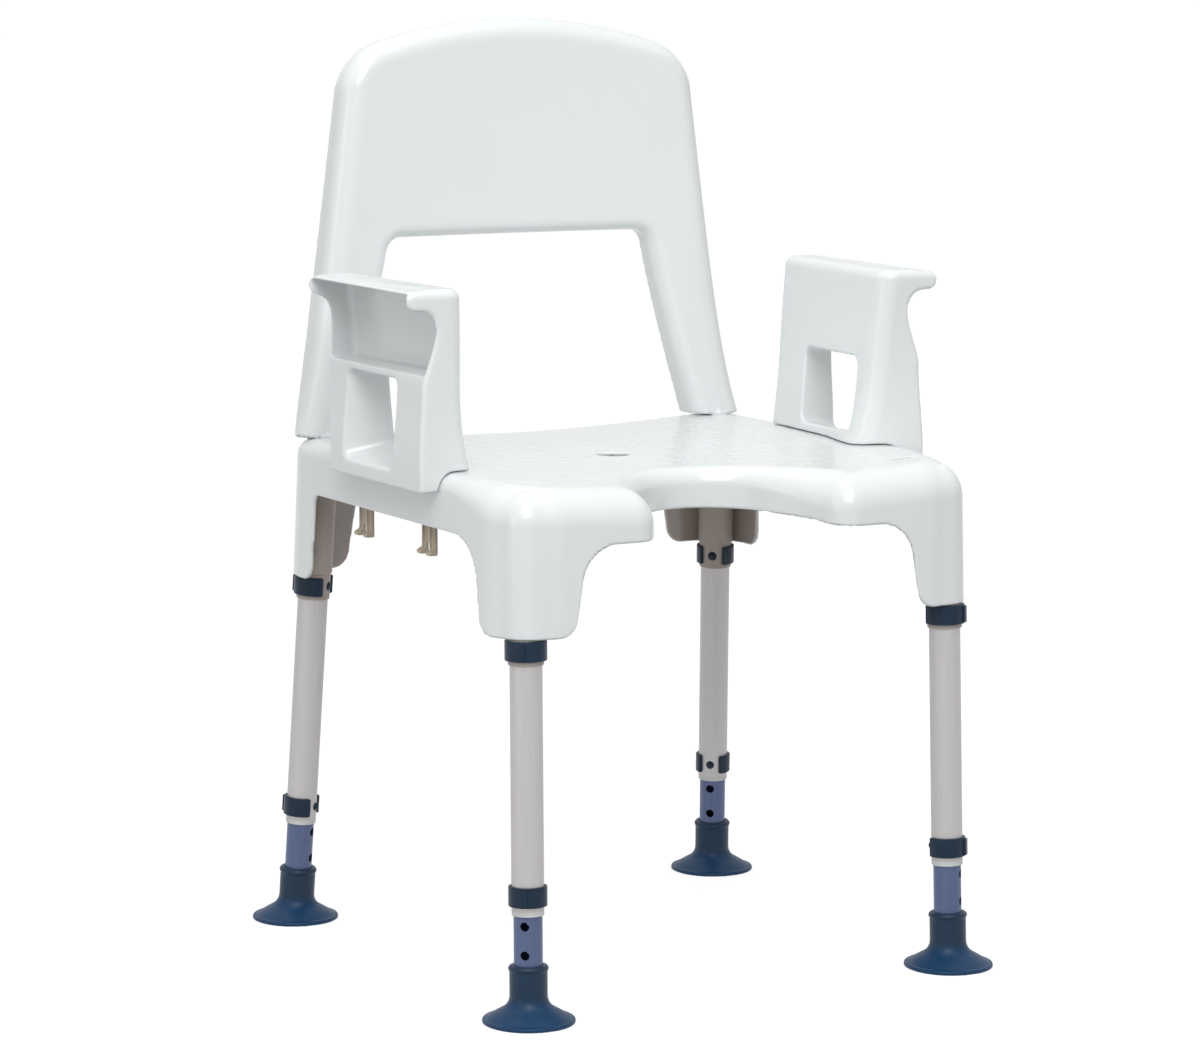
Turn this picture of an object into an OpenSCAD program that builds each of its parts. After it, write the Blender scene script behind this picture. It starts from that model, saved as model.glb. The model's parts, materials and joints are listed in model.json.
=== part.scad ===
// Height-adjustable shower chair: a dished seat moulding on four telescopic legs with suction feet,
// a plug-in backrest and two plug-in armrests.
// Millimetres, +Z up, the sitter faces -Y. The origin is on the floor, midway between the four feet.

/* [Seat] */
// Width of the seat moulding
seat_w = 480; // [460:1:580]
// Distance from the origin to the seat's front edge
seat_front = 230; // [222:1:280]
// Distance from the origin to the seat's rear edge
seat_rear = 222; // [216:1:270]
// Height of the seat's rim above the floor
seat_z = 458; // [440:1:560]
// Wall of the seat moulding
seat_wall = 4; // [3:0.5:6]
// Plan radius of the seat's corners
seat_corner_r = 40; // [25:1:45]
// Rounding of the seat's upper edge
edge_r = 12; // [8:1:16]
// Depth of the dish at the middle of the seat
dish_depth = 8.5; // [4:0.5:12]
// Height of the skirt between the legs
skirt_h = 48; // [40:1:60]
// Height of the corner shrouds around the leg sockets
shroud_h = 128; // [110:1:150]
// Distance from a leg's axis to the shroud's inner edge, on the front and rear faces
shroud_reach = 42; // [30:1:55]
// Length of the shroud along the side of the front corners
front_shroud_side = 50; // [40:1:70]
// Length of the shroud along the side of the rear corners
rear_shroud_side = 67; // [45:1:80]
// Rounding where the skirt runs into a shroud
skirt_fillet_r = 30; // [15:1:34]
// Rounding of a shroud's lower corners
shroud_tip_r = 12; // [6:1:14]
// Half width of the hygiene notch at the front edge
notch_half_w = 90; // [60:1:100]
// Depth of the hygiene notch from the front edge
notch_depth = 129; // [90:1:150]
// Height of the wall around the notch
notch_wall_h = 43; // [30:1:46]
// Diameter of the drain hole
drain_d = 30; // [15:1:40]
// Distance of the drain hole behind the origin
drain_y = 20; // [0:1:60]
// Length of the front drain slots
slot_l = 26; // [15:1:35]
// Width of the front drain slots
slot_w = 6; // [4:0.5:8]

/* [Leg layout] */
// Distance of the front feet from the middle plane
front_foot_x = 214; // [200:1:240]
// Distance of the rear feet from the middle plane
rear_foot_x = 227; // [210:1:250]
// Distance of all four feet in front of or behind the origin
foot_y = 222; // [200:1:250]
// How far a front leg leans inwards over the seat's height
front_lean_x = 3.5; // [0:0.5:12]
// How far a front leg leans backwards over the seat's height
front_lean_y = 17; // [0:0.5:25]
// How far a rear leg leans inwards over the seat's height
rear_lean_x = 15.5; // [0:0.5:20]
// How far a rear leg leans forwards over the seat's height
rear_lean_y = 29; // [10:0.5:34]

/* [Legs] */
// Outer diameter of the leg tubes
tube_d = 28; // [25:0.5:30]
// Wall of the leg tubes
tube_wall = 1.5; // [1:0.1:2]
// Height of the lower end of the leg tubes
tube_low = 97; // [90:1:110]
// How far below the seat's rim the leg tubes end, inside the sockets
tube_drop = 56; // [50:1:70]
// Wall of the leg extensions
extension_wall = 1.5; // [1:0.1:2]
// Height of the upper end of the leg extensions
extension_high = 285; // [270:1:290]
// Diameter of the adjustment holes
hole_d = 8; // [6:0.5:9]
// Pitch of the adjustment holes
hole_pitch = 25; // [20:1:30]
// Number of adjustment holes in each extension
hole_count = 8; // [4:1:8]
// Number of the hole, from the lowest, that the locking pin sits in
pin_hole = 3; // [2:1:4]
// Height of the end ring below each leg tube
ring_h = 4; // [3:0.5:6]
// Turn of the locking pins from the side-to-side direction, in degrees
pin_turn = 48; // [30:1:60]

/* [Sockets and clips] */
// Wall of the leg sockets
socket_wall = 4.35; // [3.5:0.05:6]
// Wall of the socket's thin neck
neck_wall = 1.45; // [1.2:0.05:2.5]
// Height of the neck that the upper clip sits on
neck_h = 24; // [22:1:30]
// Height of the locking clips
clip_h = 17.5; // [14:0.5:20]
// Wall of the locking clips
clip_wall = 2.6; // [1.5:0.1:4]
// Part of the circle that a clip's band covers, in degrees
clip_wrap = 276; // [240:2:300]
// How far the pin's round tip stands out of the far side of the leg
pin_tip = 3; // [1:0.5:5]
// Thickness of the thumb ridge on a clip's back
clip_ridge = 1.6; // [0.8:0.1:3]

/* [Feet] */
// Diameter of the suction cup
cup_d = 80; // [60:1:90]
// Height of the suction cup
cup_h = 19; // [15:1:24]
// Width of the cup's flat rim
cup_rim = 4; // [3:0.5:6]
// Height of the hollow under the cup
cup_hollow_h = 9; // [6:0.5:9.5]
// Height of the top of the foot's sleeve
sleeve_high = 50; // [44:1:56]
// Wall of the foot's sleeve
sleeve_wall = 4; // [3:0.5:6]
// Thickness of the steel washer in the foot
washer_t = 2; // [1:0.5:3]
// Thickness of the foot's rubber under the washer, at the axis
foot_web = 5; // [4:0.5:6]

/* [Backrest] */
// Height of the backrest's top edge above the seat's rim
back_h = 382; // [320:1:460]
// Height of the top edge of the window above the seat's rim
window_h = 180; // [140:1:210]
// Half width of the backrest at its foot, measured inwards from the seat's side
back_foot_inset = 4; // [2:1:8]
// Half width of the backrest near its top
back_top_half_w = 179; // [160:1:190]
// Half width of the window at its top edge
window_top_half_w = 137; // [110:1:150]
// Half width of the window at the seat
window_foot_half_w = 186; // [170:1:190]
// Depth of the backrest from front to rear at its sides
back_depth = 44; // [40:1:50]
// Wall of the backrest moulding
back_wall = 4.5; // [3:0.5:6]
// Plan radius of the backrest's curved front
back_curve_r = 1200; // [900:10:2500]
// Rise of the top edge from the corners to the middle
back_arch = 22; // [10:1:40]
// Rounding of the backrest's top corners
back_corner_r = 32; // [15:1:45]
// Diameter of the pegs below the backrest's posts
peg_d = 25; // [18:0.5:26]
// Length of the pegs
peg_l = 42; // [30:1:44]

/* [Armrests] */
// Height of the armrest above the seat's rim
arm_h = 160; // [120:1:200]
// Distance of the armrest's foot in front of the origin
arm_front = 89; // [70:1:110]
// Distance of the armrest's foot behind the origin
arm_rear = 99; // [80:1:115]
// Distance that the armrest's top stands forward of its foot
arm_nose = 14; // [0:1:30]
// Width of the armrest's foot on the seat, at the front
arm_foot_w = 34; // [28:1:36]
// Plan turn of the armrest's inner face, in degrees
arm_turn = 3.8; // [0:0.1:4.5]
// Outward lean of the armrest's inner face over its height
arm_lean = 8; // [4:1:30]
// How far the armrest stands out over the seat's side
arm_over = 17; // [6:1:20]
// Wall of the armrest moulding
arm_wall = 4; // [3:0.5:6]
// Width of the lip beyond the armrest's channel
lip_w = 10; // [8:1:22]
// Height of the lip's end
lip_t = 20; // [12:1:26]
// Height over which the armrest's outer edge flares into the lip
flare_h = 24; // [10:1:40]
// How far the armrest reaches down over the seat's side
arm_drop = 16; // [8:1:24]
// Height of the window's lower edge above the seat's rim
arm_window_low = 12; // [8:1:20]
// Height of the window's upper edge above the seat's rim
arm_window_high = 80; // [50:1:90]
// Length of the window in the armrest
arm_window_l = 104; // [60:1:120]
// Distance of the window's middle behind the origin
arm_window_y = -10; // [-15:1:10]
// Width of a latch
latch_w = 26; // [15:1:32]
// Thickness of a latch
latch_t = 3.2; // [2:0.2:5]
// How far a latch reaches below the seat's rim
latch_l = 76; // [60:1:90]

/* [Fits] */
// Radial clearance of tubes and pegs that slide
slide_gap = 0.05; // [0.02:0.01:0.1]
// Radial clearance of the locking pins
pin_gap = 0.1; // [0.05:0.05:0.3]
// Clearance between a clip's band and the leg
band_gap = 0.15; // [0.1:0.05:0.3]
// Clearance between mouldings that rest on each other
rest_gap = 0.3; // [0.2:0.05:0.5]
// Clearance between a latch and its slot
latch_gap = 1.2; // [0.8:0.1:2]

/* [Hidden] */
$fn = 72;
overlap = 0.01;
left = -1;
right = 1;
front = -1;
rear = 1;

// Leg axes, for the right-hand side
function foot_point(end) = [end == front ? front_foot_x : rear_foot_x, end * foot_y, 0];
function lean(end) = end == front
    ? [-front_lean_x, front_lean_y, seat_z]
    : [-rear_lean_x, -rear_lean_y, seat_z];
function leg_tilt(end) = acos(lean(end)[2] / norm(lean(end)));
function leg_point(end, height) = foot_point(end) + lean(end) / norm(lean(end)) * height;

tube_r = tube_d / 2;
extension_r = tube_r - tube_wall - slide_gap;
hole_r = hole_d / 2;
pin_r = hole_r - pin_gap;
ring_low = tube_low - ring_h;
tube_high = seat_z - tube_drop;
lower_pin = tube_low + 12.5;
first_hole = lower_pin - (pin_hole - 1) * hole_pitch;
socket_bore_r = tube_r + slide_gap;
socket_r = tube_r + socket_wall;
neck_r = tube_r + neck_wall;
socket_low = seat_z - shroud_h + 1;
neck_low = socket_low - neck_h;
upper_pin = socket_low - clip_h / 2 - 2;
seat_half_w = seat_w / 2;
dish_half_w = seat_half_w - seat_corner_r;
dish_r = (dish_half_w * dish_half_w + dish_depth * dish_depth) / (2 * dish_depth);
dish_axis_z = seat_z - dish_depth + dish_r;
foot_bore_low = cup_hollow_h + foot_web;

// Places a piece on a leg: local +Z runs up the leg from the floor, local +X points away from the chair
module on_leg(end, side) {
    mirror([side == left ? 1 : 0, 0, 0])
        translate(foot_point(end))
            rotate(a = leg_tilt(end), v = cross([0, 0, 1], lean(end)))
                rotate([0, 0, end * pin_turn])
                    children();
}

module tube(outer_r, inner_r, low, high) {
    translate([0, 0, low])
        difference() {
            cylinder(r = outer_r, h = high - low);
            translate([0, 0, -1])
                cylinder(r = inner_r, h = high - low + 2);
        }
}

// A hole or pin straight through a leg, along local X
module cross_hole(radius, height, reach) {
    translate([-reach, 0, height])
        rotate([0, 90, 0])
            cylinder(r = radius, h = 2 * reach);
}

// ---- Seat moulding ----

// Section of the rim: flat top strip, rounded edge and outer wall, with x = 0 on the strip's inner end
module rim_section(height) {
    translate([0, seat_z - seat_wall])
        square([seat_corner_r - edge_r, seat_wall]);
    translate([seat_corner_r - edge_r, seat_z - edge_r])
        intersection() {
            difference() {
                circle(r = edge_r);
                circle(r = edge_r - seat_wall);
            }
            square(edge_r);
        }
    translate([seat_corner_r - seat_wall, seat_z - height])
        square([seat_wall, height - edge_r]);
}

module rim_corner(side, end) {
    centre_y = end == front ? -(seat_front - seat_corner_r) : seat_rear - seat_corner_r;
    turn = side == right ? (end == front ? -90 : 0) : (end == front ? 180 : 90);
    translate([side * dish_half_w, centre_y, 0])
        rotate([0, 0, turn])
            rotate_extrude(angle = 90)
                rim_section(shroud_h);
}

module rim_side(side) {
    mirror([side == left ? 1 : 0, 0, 0])
        translate([dish_half_w, seat_rear - seat_corner_r, 0])
            rotate([90, 0, 0])
                linear_extrude(seat_front + seat_rear - 2 * seat_corner_r)
                    rim_section(shroud_h);
}

module rim_end(end) {
    mirror([0, end == front ? 1 : 0, 0])
        translate([-dish_half_w, (end == front ? seat_front : seat_rear) - seat_corner_r, 0])
            rotate([90, 0, 90])
                linear_extrude(2 * dish_half_w)
                    rim_section(shroud_h);
}

module flat_deck() {
    translate([-dish_half_w, -seat_front + seat_corner_r, seat_z - seat_wall])
        cube([2 * dish_half_w, seat_front + seat_rear - 2 * seat_corner_r, seat_wall]);
}

module dish_cylinder(radius) {
    translate([0, seat_rear + 50, dish_axis_z])
        rotate([90, 0, 0])
            cylinder(r = radius, h = seat_front + seat_rear + 100, $fn = 720);
}

module dished_deck() {
    intersection() {
        translate([-dish_half_w, -seat_front + seat_wall / 2, seat_z - dish_depth - 2 * seat_wall])
            cube([2 * dish_half_w, seat_front + seat_rear - seat_wall, dish_depth + 2 * seat_wall]);
        dish_cylinder(dish_r + seat_wall);
    }
}

// Half ellipse of the notch, widened by grow
module notch_plan(grow) {
    half_w = notch_half_w + grow;
    depth = notch_depth + grow;
    outline = [for (step = [0 : 32]) [half_w * cos(step * 180 / 32), depth * sin(step * 180 / 32)]];
    translate([0, -seat_front])
        polygon(concat([[-half_w, -20], [half_w, -20]], outline));
}

module notch_wall() {
    translate([0, 0, seat_z - notch_wall_h])
        linear_extrude(notch_wall_h - seat_wall / 2)
            intersection() {
                notch_plan(seat_wall);
                translate([-notch_half_w - 2 * seat_wall, -seat_front + seat_wall / 2])
                    square([2 * notch_half_w + 4 * seat_wall, notch_depth + 2 * seat_wall]);
            }
}

// Opening under a stretch of skirt: rounded upper corners, and lower corners that flare into the shrouds
module skirt_gap(low_x, high_x) {
    top = shroud_h - skirt_h;
    width = high_x - low_x;
    translate([low_x, seat_z - shroud_h]) {
        translate([skirt_fillet_r, top - skirt_fillet_r])
            circle(r = skirt_fillet_r);
        translate([width - skirt_fillet_r, top - skirt_fillet_r])
            circle(r = skirt_fillet_r);
        translate([skirt_fillet_r, -5])
            square([width - 2 * skirt_fillet_r, top + 5]);
        translate([0, -5])
            square([width, top - skirt_fillet_r + 5]);
        for (tip = [0, 1])
            translate([tip * width, 0])
                mirror([1 - tip, 0])
                    difference() {
                        translate([-1, -5])
                            square([shroud_tip_r + 1, shroud_tip_r + 5]);
                        translate([shroud_tip_r, shroud_tip_r])
                            circle(r = shroud_tip_r);
                    }
    }
}

module skirt_openings() {
    shroud_in = front_foot_x - front_lean_x - shroud_reach;
    translate([0, seat_rear + 10, 0])
        rotate([90, 0, 0])
            linear_extrude(seat_front + seat_rear + 20)
                skirt_gap(-shroud_in, shroud_in);
    translate([-seat_half_w - 10, 0, 0])
        rotate([90, 0, 90])
            linear_extrude(seat_w + 20)
                skirt_gap(-seat_front + front_shroud_side, seat_rear - rear_shroud_side);
}

// Rib that ties a socket to an outer wall, from one corner of its plan to the other
module socket_rib(from, to) {
    translate([from[0], from[1], socket_low + 2])
        cube([to[0] - from[0], to[1] - from[1], seat_z - edge_r - socket_low - 4]);
}

// Socket for a leg tube, with two ribs that tie it to the outer walls
module leg_socket(end, side) {
    on_leg(end, side) {
        translate([0, 0, socket_low])
            cylinder(r = socket_r, h = seat_z - seat_wall - socket_low + 2);
        translate([0, 0, neck_low])
            cylinder(r = neck_r, h = neck_h + 1);
    }
    centre = leg_point(end, socket_low);
    grip = socket_r - 4;
    half = seat_wall / 2;
    rib_y = end == front ? [-seat_front + half, centre[1]] : [centre[1] + grip, seat_rear - half];
    mirror([side == left ? 1 : 0, 0, 0]) {
        socket_rib([centre[0] + grip, centre[1] - half], [seat_half_w - half, centre[1] + half]);
        socket_rib([centre[0] - half, rib_y[0]], [centre[0] + half, rib_y[1]]);
    }
}

module leg_bores(end, side) {
    on_leg(end, side) {
        translate([0, 0, neck_low - 5])
            cylinder(r = socket_bore_r, h = tube_high - neck_low + 5);
        cross_hole(hole_r, upper_pin, socket_r + 2);
    }
}

module latch_slot(end, side) {
    translate([side * latch_x, latch_y(end), seat_z - seat_wall - 3])
        linear_extrude(seat_wall + 6)
            square([latch_t + 2 * latch_gap, latch_w + 2 * latch_gap], center = true);
}

module seat_shell() {
    color("white")
    difference() {
        union() {
            flat_deck();
            dished_deck();
            notch_wall();
            difference() {
                union() {
                    for (side = [left, right])
                        rim_side(side);
                    for (end = [front, rear])
                        rim_end(end);
                    for (side = [left, right], end = [front, rear])
                        rim_corner(side, end);
                }
                skirt_openings();
            }
            for (side = [left, right], end = [front, rear])
                leg_socket(end, side);
        }
        dish_cylinder(dish_r);
        translate([0, 0, seat_z - shroud_h - 5])
            linear_extrude(shroud_h + 10)
                notch_plan(0);
        for (side = [left, right]) {
            for (end = [front, rear]) {
                leg_bores(end, side);
                latch_slot(end, side);
            }
            peg_bore(side);
            translate([side * (dish_half_w - 10), -seat_front + 58, seat_z - seat_wall - 4])
                linear_extrude(seat_wall + 6)
                    square([slot_l, slot_w], center = true);
        }
        translate([0, drain_y, seat_z - dish_depth - seat_wall - 3])
            cylinder(d = drain_d, h = dish_depth + seat_wall + 6);
    }
}

// ---- Backrest ----

peg_r = peg_d / 2;
peg_x = leg_point(rear, seat_z - peg_l / 2)[0];
peg_y = leg_point(rear, seat_z - peg_l / 2)[1];
back_front = seat_rear - back_depth;
back_foot_half_w = seat_half_w - back_foot_inset;

module peg_bore(side) {
    translate([side * peg_x, peg_y, seat_z - peg_l - 2])
        cylinder(r = peg_r + slide_gap, h = peg_l + 10);
}

// Half width of the outline and of the window at a height above the seat's rim
function back_half_w(height) =
    let (drop = max(0, 1 - height / (back_h - back_arch)))
    back_top_half_w + (back_foot_half_w - back_top_half_w) * (0.8 * drop + 0.2 * pow(drop, 6));
function window_half_w(height) =
    let (drop = max(0, 1 - height / window_h))
    window_top_half_w + (window_foot_half_w - window_top_half_w) * pow(drop, 1.17);

// Right half of the backrest seen from the front, drawn in by inset on every side
module back_half_outline(inset) {
    shoulder = back_h - back_arch - back_corner_r;
    corner_x = back_half_w(shoulder) - back_corner_r;
    side_points = [for (step = [0 : 12]) [back_half_w(step * shoulder / 12) - inset, step * shoulder / 12]];
    corner_points = [for (turn = [10 : 10 : 80])
        [corner_x + (back_corner_r - inset) * cos(turn), shoulder + (back_corner_r - inset) * sin(turn)]];
    arch_points = [for (step = [9 : -1 : 0])
        let (x = corner_x * step / 10)
        [x, back_h - inset - back_arch * pow(x / corner_x, 2)]];
    window_points = [for (step = [8 : -1 : 0])
        [window_half_w(step * (window_h - 12) / 8) + inset, step * (window_h - 12) / 8]];
    window_corner = [[0, window_h + inset], [window_top_half_w - 12 + inset, window_h + inset],
        [window_top_half_w - 4 + inset, window_h - 4 + inset]];
    polygon(concat(side_points, corner_points, arch_points, window_corner, window_points));
}

module back_outline(inset) {
    for (side = [0, 1])
        mirror([side, 0])
            back_half_outline(inset);
}

// Vertical prism over the seat's plan, drawn in by inset, behind a curved front face
module back_plan(inset, front_y) {
    corner_r = seat_corner_r - inset;
    difference() {
        union() {
            for (side = [left, right])
                translate([side * dish_half_w, seat_rear - seat_corner_r])
                    circle(r = corner_r);
            translate([-seat_half_w + inset, front_y - 30])
                square([seat_w - 2 * inset, seat_rear - seat_corner_r - front_y + 30]);
            translate([-dish_half_w, front_y - 30])
                square([2 * dish_half_w, seat_rear - inset - front_y + 30]);
        }
        translate([0, front_y - back_curve_r + seat_half_w * seat_half_w / (2 * back_curve_r)])
            circle(r = back_curve_r, $fn = 360);
    }
}

module backrest_body(inset, front_y, low) {
    translate([0, 0, seat_z])
        intersection() {
            translate([0, 0, low])
                linear_extrude(back_h + 10 - low)
                    back_plan(inset > 0 ? -20 : 2, front_y);
            translate([0, seat_rear + 20, rest_gap])
                rotate([90, 0, 0])
                    linear_extrude(back_depth + 60)
                        back_outline(inset);
        }
}

module backrest() {
    color("white") {
        difference() {
            backrest_body(0, back_front, rest_gap);
            backrest_body(back_wall, back_front + back_wall, 12);
        }
        for (side = [left, right])
            translate([side * peg_x, peg_y, seat_z - peg_l])
                cylinder(r = peg_r, h = peg_l + 2);
    }
}

// ---- Armrests ----

arm_inner_x = seat_half_w - arm_foot_w;
arm_outer_x = seat_half_w + rest_gap + arm_over;
arm_low = seat_z + rest_gap;
arm_top = seat_z + arm_h;
latch_x = seat_half_w - 16;
function latch_y(end) = end == front ? -arm_front + 22 + latch_w / 2 : arm_rear - 14 - latch_w / 2;

// Inner face of the armrest: x at a height above the seat's rim
function arm_face(height) = arm_inner_x + arm_lean * pow(min(1, height / arm_h), 2);

// Region outside the inner face, moved out by shift
module arm_face_region(shift) {
    face = [for (step = [0 : 10]) [arm_face(step * arm_h / 10) + shift, seat_z + step * arm_h / 10]];
    polygon(concat([[seat_half_w + 80, arm_top + 20], [seat_half_w + 80, seat_z - 40],
        [arm_inner_x + shift, seat_z - 40]], face, [[arm_inner_x + arm_lean + shift, arm_top + 20]]));
}

// Outline seen from the side, as y and z, drawn in by inset
module arm_side_outline(inset) {
    polygon([[-arm_front + inset, seat_z - 40], [-arm_front + inset, seat_z],
        [-arm_front - 0.35 * arm_nose + inset, seat_z + arm_h / 2],
        [-arm_front - arm_nose + inset, arm_top + 20],
        [arm_rear - inset, arm_top + 20], [arm_rear - inset, seat_z - 40]]);
}

// Outline of the whole section: foot on the seat, drop over its side, outer edge,
// and the lip that flares from it
module arm_section() {
    flare = [for (step = [0 : 6])
        [arm_outer_x + lip_w * pow(step / 6, 2), arm_top - lip_t - flare_h * (1 - step / 6)]];
    lip_end = [for (turn = [-90 : 30 : 90])
        [arm_outer_x + lip_w + lip_t / 2 * 0.3 * cos(turn), arm_top - lip_t / 2 + lip_t / 2 * sin(turn)]];
    polygon(concat([[arm_inner_x - 5, arm_low], [seat_half_w + rest_gap, arm_low],
        [seat_half_w + rest_gap, seat_z - arm_drop], [arm_outer_x, seat_z - arm_drop]], flare, lip_end,
        [[arm_inner_x + arm_lean + 8, arm_top], [arm_inner_x + arm_lean + 2, arm_top - 4],
        [arm_inner_x - 5, arm_top - 12]]));
}

module along_y() {
    translate([0, arm_rear + 40, 0])
        rotate([90, 0, 0])
            linear_extrude(arm_front + arm_rear + 100)
                children();
}

module along_x() {
    translate([arm_inner_x - 30, 0, 0])
        rotate([90, 0, 90])
            linear_extrude(arm_foot_w + 120)
                children();
}

module turned_face(shift) {
    translate([arm_inner_x, -arm_front, 0])
        rotate([0, 0, -arm_turn])
            translate([-arm_inner_x, arm_front, 0])
                along_y()
                    arm_face_region(shift);
}

// Hollow behind the upper half of the armrest, open to the outside, with the shelf as its floor
module arm_recess() {
    intersection() {
        turned_face(arm_wall);
        along_x()
            arm_side_outline(arm_wall);
        translate([arm_inner_x, -arm_front - arm_nose, seat_z + arm_window_high + arm_wall])
            cube([arm_foot_w + 60, arm_front + arm_rear + arm_nose, arm_h - arm_window_high - 2 * arm_wall]);
    }
}

module armrest(side) {
    color("white")
    mirror([side == left ? 1 : 0, 0, 0])
        difference() {
            intersection() {
                along_y()
                    arm_section();
                turned_face(0);
                along_x()
                    arm_side_outline(0);
            }
            arm_recess();
            translate([arm_inner_x - 20, arm_window_y - arm_window_l / 2, seat_z + arm_window_low])
                cube([arm_foot_w + 60, arm_window_l, arm_window_high - arm_window_low]);
        }
}

// Snap latch: a tongue from the armrest's foot down through the seat, with a stop under the deck
// and a finger nose at its end
module latch(end, side) {
    nose = 5;
    nose_t = 3;
    stop_z = seat_z - seat_wall - rest_gap - 1;
    stop_h = 12;
    color("wheat")
    mirror([side == left ? 1 : 0, 0, 0])
        translate([latch_x - latch_t / 2, latch_y(end) - latch_w / 2, 0]) {
            translate([0, 0, seat_z - latch_l])
                cube([latch_t, latch_w, latch_l + rest_gap]);
            translate([latch_t - overlap, latch_w, 0])
                rotate([90, 0, 0])
                    linear_extrude(latch_w)
                        translate([0, seat_z - latch_l])
                            polygon([[0, 0], [nose, 0], [nose, nose_t], [0, 2 * nose_t]]);
            translate([latch_t - overlap, latch_w, 0])
                rotate([90, 0, 0])
                    linear_extrude(latch_w)
                        polygon([[0, stop_z - stop_h], [nose, stop_z], [0, stop_z]]);
        }
}

// ---- Legs ----

module leg_tube(end, side) {
    color("lightgray")
    on_leg(end, side)
        difference() {
            tube(tube_r, tube_r - tube_wall, tube_low, tube_high);
            cross_hole(hole_r, lower_pin, tube_r + 2);
            cross_hole(hole_r, upper_pin, tube_r + 2);
        }
}

module end_ring(end, side) {
    color("whitesmoke")
    on_leg(end, side)
        tube(tube_r, extension_r + slide_gap, ring_low, tube_low);
}

module clip(inner_r, height) {
    outer_r = inner_r + clip_wall;
    translate([0, 0, height - clip_h / 2])
        rotate([0, 0, -clip_wrap / 2])
            rotate_extrude(angle = clip_wrap)
                translate([inner_r, 0])
                    square([clip_wall, clip_h]);
    translate([outer_r - 0.8, -4, height - clip_h / 2 + 1.5])
        cube([clip_ridge + 0.8, 8, clip_h - 3]);
    translate([-tube_r - pin_tip + pin_r, 0, height])
        rotate([0, 90, 0])
            cylinder(r = pin_r, h = inner_r + tube_r + pin_tip - pin_r + clip_wall / 2);
    translate([-tube_r - pin_tip + pin_r, 0, height])
        sphere(r = pin_r);
}

module upper_clip(end, side) {
    color("darkslategray")
    on_leg(end, side)
        clip(neck_r + band_gap, upper_pin);
}

module lower_clip(end, side) {
    color("darkslategray")
    on_leg(end, side)
        clip(tube_r + band_gap, lower_pin);
}

module extension(end, side) {
    color("slateblue")
    on_leg(end, side)
        difference() {
            tube(extension_r, extension_r - extension_wall, foot_bore_low + washer_t, extension_high);
            for (hole = [0 : hole_count - 1])
                cross_hole(hole_r, first_hole + hole * hole_pitch, tube_r + 2);
        }
}

module foot_washer(end, side) {
    color("silver")
    on_leg(end, side)
        translate([0, 0, foot_bore_low])
            cylinder(r = extension_r, h = washer_t);
}

// Suction cup that stands level, with a sleeve that follows the leg
module suction_foot(end, side) {
    cup_r = cup_d / 2;
    sleeve_r = extension_r + sleeve_wall;
    color("midnightblue")
    difference() {
        union() {
            mirror([side == left ? 1 : 0, 0, 0])
                translate(foot_point(end))
                    rotate_extrude()
                        polygon([[0, 0], [cup_r, 0], [cup_r, 2], [cup_r - 1, 3], [cup_r - 6, 6],
                            [cup_r - 12, 10.5], [sleeve_r + 4, cup_h - 4], [sleeve_r + 1.5, cup_h],
                            [0, cup_h]]);
            on_leg(end, side)
                translate([0, 0, cup_h - 5])
                    cylinder(r = sleeve_r, h = sleeve_high - cup_h + 5);
        }
        mirror([side == left ? 1 : 0, 0, 0])
            translate(foot_point(end))
                translate([0, 0, -1])
                    cylinder(r1 = cup_r - cup_rim + 1, r2 = 10, h = cup_hollow_h + 1);
        on_leg(end, side)
            translate([0, 0, foot_bore_low])
                cylinder(r = extension_r + slide_gap, h = sleeve_high);
    }
}

seat_shell();
backrest();
armrest(left);  // armrest_left
armrest(right);  // armrest_right
latch(front, left);  // latch_left_front
latch(rear, left);  // latch_left_rear
latch(front, right);  // latch_right_front
latch(rear, right);  // latch_right_rear
leg_tube(front, left);  // leg_tube_front_left
leg_tube(front, right);  // leg_tube_front_right
leg_tube(rear, left);  // leg_tube_rear_left
leg_tube(rear, right);  // leg_tube_rear_right
end_ring(front, left);  // end_ring_front_left
end_ring(front, right);  // end_ring_front_right
end_ring(rear, left);  // end_ring_rear_left
end_ring(rear, right);  // end_ring_rear_right
upper_clip(front, left);  // upper_clip_front_left
upper_clip(front, right);  // upper_clip_front_right
upper_clip(rear, left);  // upper_clip_rear_left
upper_clip(rear, right);  // upper_clip_rear_right
lower_clip(front, left);  // lower_clip_front_left
lower_clip(front, right);  // lower_clip_front_right
lower_clip(rear, left);  // lower_clip_rear_left
lower_clip(rear, right);  // lower_clip_rear_right
extension(front, left);  // extension_front_left
extension(front, right);  // extension_front_right
extension(rear, left);  // extension_rear_left
extension(rear, right);  // extension_rear_right
foot_washer(front, left);  // foot_washer_front_left
foot_washer(front, right);  // foot_washer_front_right
foot_washer(rear, left);  // foot_washer_rear_left
foot_washer(rear, right);  // foot_washer_rear_right
suction_foot(front, left);  // suction_foot_front_left
suction_foot(front, right);  // suction_foot_front_right
suction_foot(rear, left);  // suction_foot_rear_left
suction_foot(rear, right);  // suction_foot_rear_right
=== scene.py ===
import math

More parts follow.
